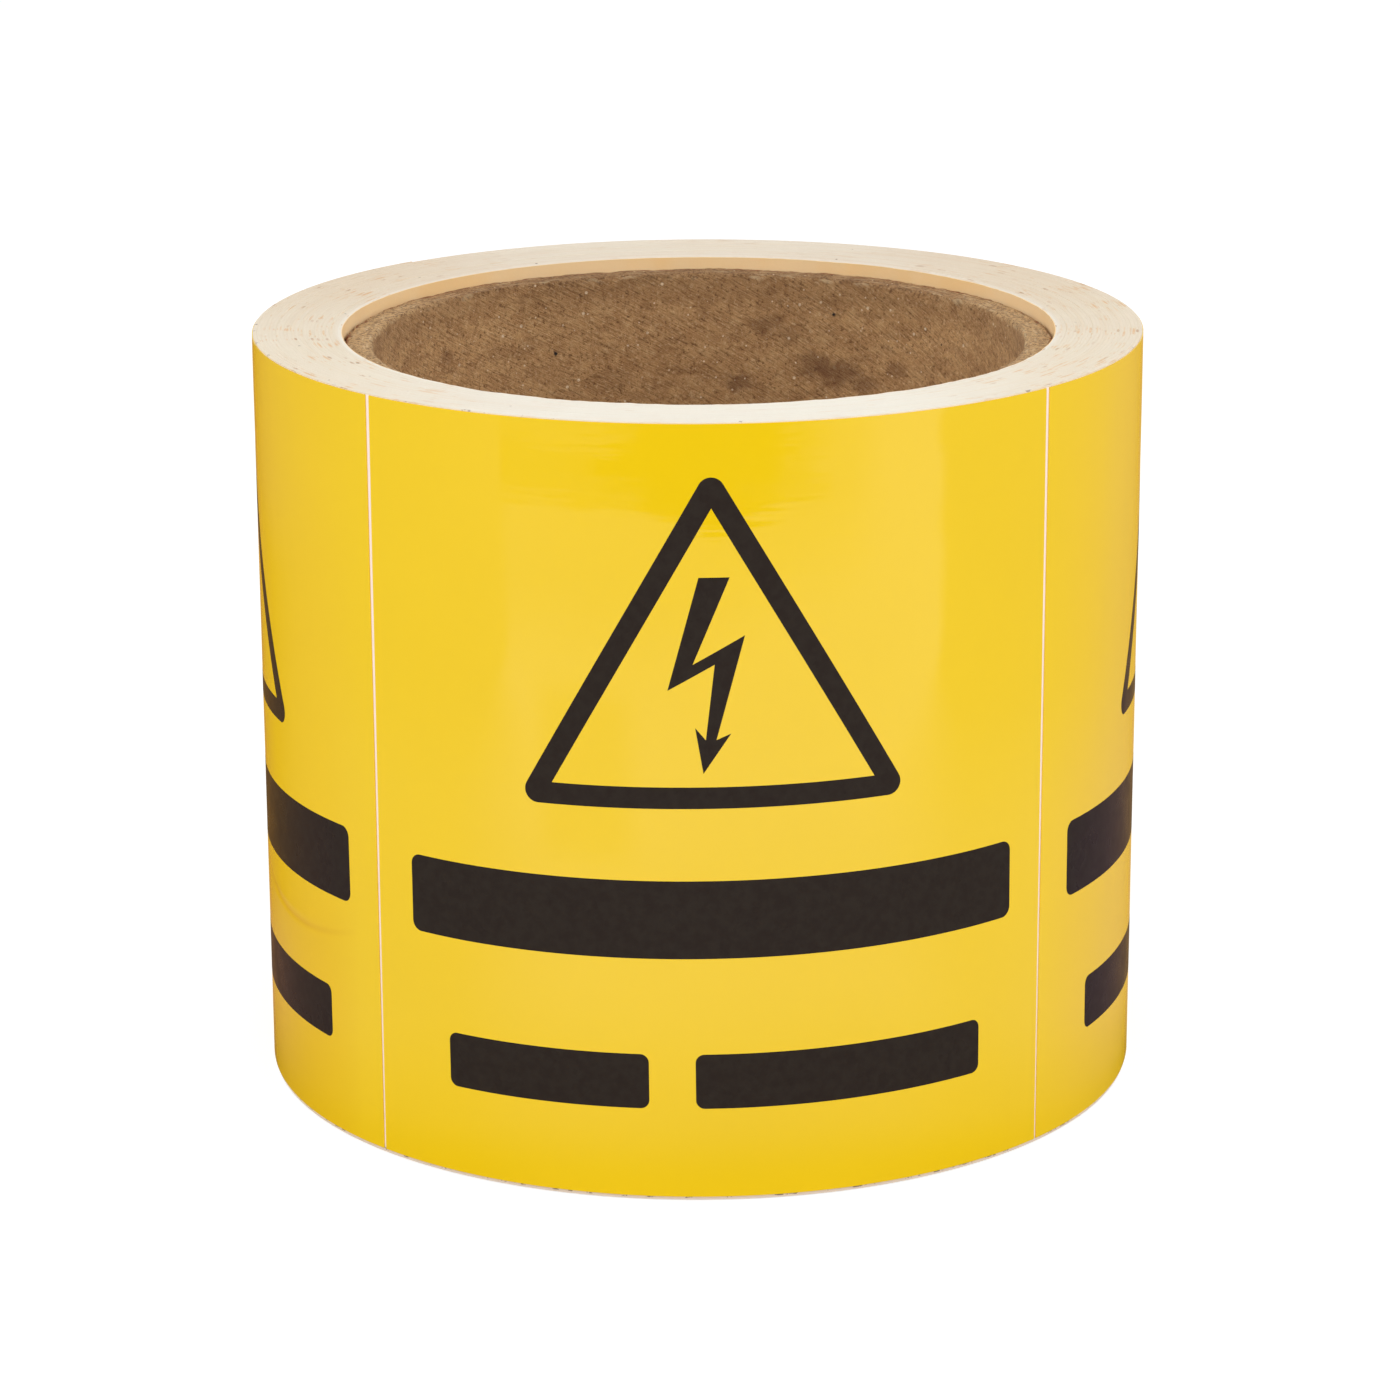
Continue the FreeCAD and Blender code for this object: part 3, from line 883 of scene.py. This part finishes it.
def side_glow(level, azimuth):
    """Glow beside the window, dimmer the further round it is."""
    far = abs(azimuth)
    if azimuth < 0:
        glow = max(0.05, 0.68 - 0.0062 * (far - 53))
        glow *= 1 + 0.22 * step(level, 60, 42) * step(far, 112, 96)
        glow -= 0.09 * step(far, 98, 138) * step(level, 75, 62) * step(level, 23.3, 24.6)
        return max(0.05, glow + 0.06 * step(far, 120, 142) * step(level, 24.6, 16))
    glow = 0.62 - 0.0040 * (far - 63) - 0.006 * max(0.0, far - 130)
    return max(0.1, glow) * (1 + (0.5 - 0.2 * step(far, 110, 135)) * step(level, 58, 36))


def foot_glow(level, far):
    """Share of the glow that is left near the roll's foot: painted shadow where the roll shades the
    floor.
    """
    lifted = level * (1 + 0.012 * max(0.0, far - 40))
    sideways = 0.14 * step(far, 60, 110)
    return 0.13 + sideways + (0.37 - sideways) * step(lifted, 1.5, 10) + 0.50 * step(lifted, 6, 28)


def card_glow(row, level, facing):
    """Painted reflection on the card: a pale window in front, a dark wedge far off in it, and dim warm
    sides.
    """
    azimuth, far = 2 * facing, abs(2 * facing)
    feathers, threads, coarse, slow = STREAKS
    fine = feathers[row + 20 - round(0.35 * azimuth)] if 0 < azimuth < 50 else threads[row]
    left = WINDOW_LEFT + 0.7 * slow[row]
    right = WINDOW_RIGHT + 0.9 * slow[row] - 6 * step(level, 60, 44)
    soft = 1.2 + 17 * step(level, 62, 44)
    out = max(step(azimuth, left + soft, left - soft), step(azimuth, right - soft, right + soft))
    foot = foot_glow(level, far)
    glow = foot * (window_glow(level, azimuth) * (1 - out) + side_glow(level, azimuth) * out)
    wedge = 4 + 24 * max(0.0, (level - 78) / 10) ** 0.7 + 12 * fine + 4 * coarse[row]
    dark = step(abs(azimuth - 1), wedge + 1, wedge - 1) * step(level, 77.3, 78)
    veil = step(azimuth, -49, -47.5) * step(azimuth, -8, -20) * step(level, 79, 81)
    glow *= 1 - max(0.93 * dark, min(0.85, veil * (0.50 + 0.50 * fine)))
    side, rear = step(far, 88, 116), step(far, 124, 148)
    beside, behind = RIGHT_WARM if azimuth > 0 else LEFT_WARM
    warm = [(a * (1 - rear) + b * rear) * (0.4 + 0.6 * foot) for a, b in zip(beside, behind)]
    return [glow * (1 - side) + value * side for value in warm] + [glow]


def make_card():
    """Glowing sheet on the floor that only the labels' gloss shows: a painted reflection in place of a
    studio's cards.
    """
    spots = [[mirrored(facing, level) for level in CARD_LEVELS] for facing in CARD_FACINGS]
    shades = [[card_glow(row, level, facing) for row, level in enumerate(CARD_LEVELS)]
              for facing in CARD_FACINGS]
    right, left = (spots[-1], shades[-1]), (spots[0], shades[0])
    for k in range(1, BACK_COLUMNS):
        share = k / BACK_COLUMNS
        pale = math.sin(math.pi * share)
        column, colours = [], []
        for (x1, y1), (x2, y2), one, two in zip(right[0], left[0], right[1], left[1]):
            angle = math.atan2(x1, -y1) * (1 - share) + (math.atan2(x2, -y2) + math.tau) * share
            radius = math.hypot(x1, y1) * (1 - share) + math.hypot(x2, y2) * share
            column.append((radius * math.sin(angle), -radius * math.cos(angle)))
            colours.append([(a * (1 - share) + b * share) * (1 - pale) + BACK_GLOW * pale
                            for a, b in zip(one, two)])
        spots.append(column)
        shades.append(colours)
    turn = Matrix.Rotation(math.radians(CAMERA_TURN), 3, "Z")
    points = [turn @ Vector((*spot, CARD_HEIGHT * MM)) for column in spots for spot in column]
    glows = [value for colours in shades for colour in colours for value in (*colour, 1.0)]
    rows, columns = len(CARD_LEVELS), len(spots)
    faces = [(a + j, a + j + 1, b + j + 1, b + j) for k in range(columns) for j in range(rows - 1)
             for a, b in [(k * rows, (k + 1) % columns * rows)]]
    material, tree = bare_material("painted_reflection_card")
    value = tree.nodes.new("ShaderNodeAttribute")
    value.attribute_name = "glow"
    light = tree.nodes.new("ShaderNodeEmission")
    tree.links.new(value.outputs["Color"], light.inputs["Color"])
    tree.links.new(light.outputs[0], tree.nodes["Material Output"].inputs["Surface"])
    card = surroundings("painted_reflection_card", points, faces, material)
    card.data.attributes.new("glow", "FLOAT_COLOR", "POINT").data.foreach_set("color", glows)
    card.visible_camera = card.visible_diffuse = card.visible_shadow = False
    card.visible_transmission = card.visible_volume_scatter = False


WORLD_LIGHT = 0.50
REAR_LIGHT = 1.3           # added to it low down behind the roll


def make_world():
    """White surroundings, seen at full strength and dimmer as light."""
    world = bpy.data.worlds.new("surroundings")
    bpy.context.scene.world = world
    world.use_nodes = True
    tree = world.node_tree
    parts = tree.nodes.new("ShaderNodeSeparateXYZ")
    tree.links.new(tree.nodes.new("ShaderNodeTexCoord").outputs["Generated"], parts.inputs[0])

    def part(socket, low, high, to_low, to_high):
        """Smooth step along one direction."""
        node = tree.nodes.new("ShaderNodeMapRange")
        node.interpolation_type = "SMOOTHSTEP"
        tree.links.new(socket, node.inputs["Value"])
        for name, value in ("From Min", low), ("From Max", high), ("To Min", to_low), ("To Max", to_high):
            node.inputs[name].default_value = value
        return node.outputs[0]

    light = tree.nodes.new("ShaderNodeMath")
    light.operation = "MULTIPLY_ADD"
    tree.links.new(part(parts.outputs["Y"], 0.2, 0.9, 0.0, 1.0), light.inputs[0])
    tree.links.new(part(parts.outputs["Z"], 0.2, 0.45, REAR_LIGHT, 0.0), light.inputs[1])
    light.inputs[2].default_value = WORLD_LIGHT
    strength = tree.nodes.new("ShaderNodeMapRange")
    tree.links.new(seen_directly(tree), strength.inputs["Value"])
    tree.links.new(light.outputs[0], strength.inputs["To Min"])
    strength.inputs["To Max"].default_value = 1.0
    tree.nodes["Background"].inputs["Color"].default_value = (1, 1, 1, 1)
    tree.links.new(strength.outputs[0], tree.nodes["Background"].inputs["Strength"])


# Lamps: place and sides in metres, and watts
LAMPS = {
    "key": ((-1.15, -0.45, 0.95), (0.9, 0.9), 7.1),
    "fill": ((1.15, -0.4, 0.9), (0.9, 0.9), 6.9),
    "front": ((0.0, -0.62, 0.42), (0.6, 0.4), 1.15),
}
LAMP_AIM = (0, 0, 0.05)


def make_lamp(name, place, size, energy):
    """Large soft lamp that points at the middle of the roll."""
    light = bpy.data.lights.new(name, "AREA")
    light.shape = "RECTANGLE"
    light.size, light.size_y = size
    light.energy = energy
    lamp = bpy.data.objects.new(name, light)
    bpy.context.scene.collection.objects.link(lamp)
    lamp.location = place
    aim = Vector(LAMP_AIM) - Vector(place)
    lamp.rotation_euler = aim.to_track_quat("-Z", "Y").to_euler()


def make_camera():
    """Camera at the photograph's angle, from a little above."""
    data = bpy.data.cameras.new("camera")
    data.lens, data.sensor_width = LENS, SENSOR
    data.clip_start, data.clip_end = CAMERA_CLIP
    camera = bpy.data.objects.new("camera", data)
    bpy.context.scene.collection.objects.link(camera)
    bpy.context.scene.camera = camera
    place = Matrix.Rotation(math.radians(CAMERA_TURN), 4, "Z") @ Matrix.Translation(
        (0, -CAMERA_DISTANCE * MM, CAMERA_HEIGHT * MM))
    tilt = Matrix.Rotation(math.radians(90 - CAMERA_PITCH), 4, "X")
    roll = Matrix.Rotation(math.radians(CAMERA_ROLL), 4, "Z")
    camera.matrix_world = place @ tilt @ roll


# Everything in place

winding = make_winding()
winding.data.materials.append(paper_look())
core = make_core()
core.data.materials.append(board_look())
vinyl, ink = vinyl_look(), ink_look()
FLAT_PRINT = {shape: triangulate(outlines, PRINT_GRID) for shape, outlines in PRINT.items()}
for number, name in enumerate(["label_left", "label_front", "label_right", "label_rear"]):
    make_label(name, number).data.materials.append(vinyl)
    for shape in PRINT:
        make_print(name, shape, number).data.materials.append(ink)

make_floor()
make_card()
make_world()
for name, (place, size, energy) in LAMPS.items():
    make_lamp(name, place, size, energy)
make_camera()
bpy.context.scene.view_settings.view_transform = "Standard"

bpy.context.view_layer.update()
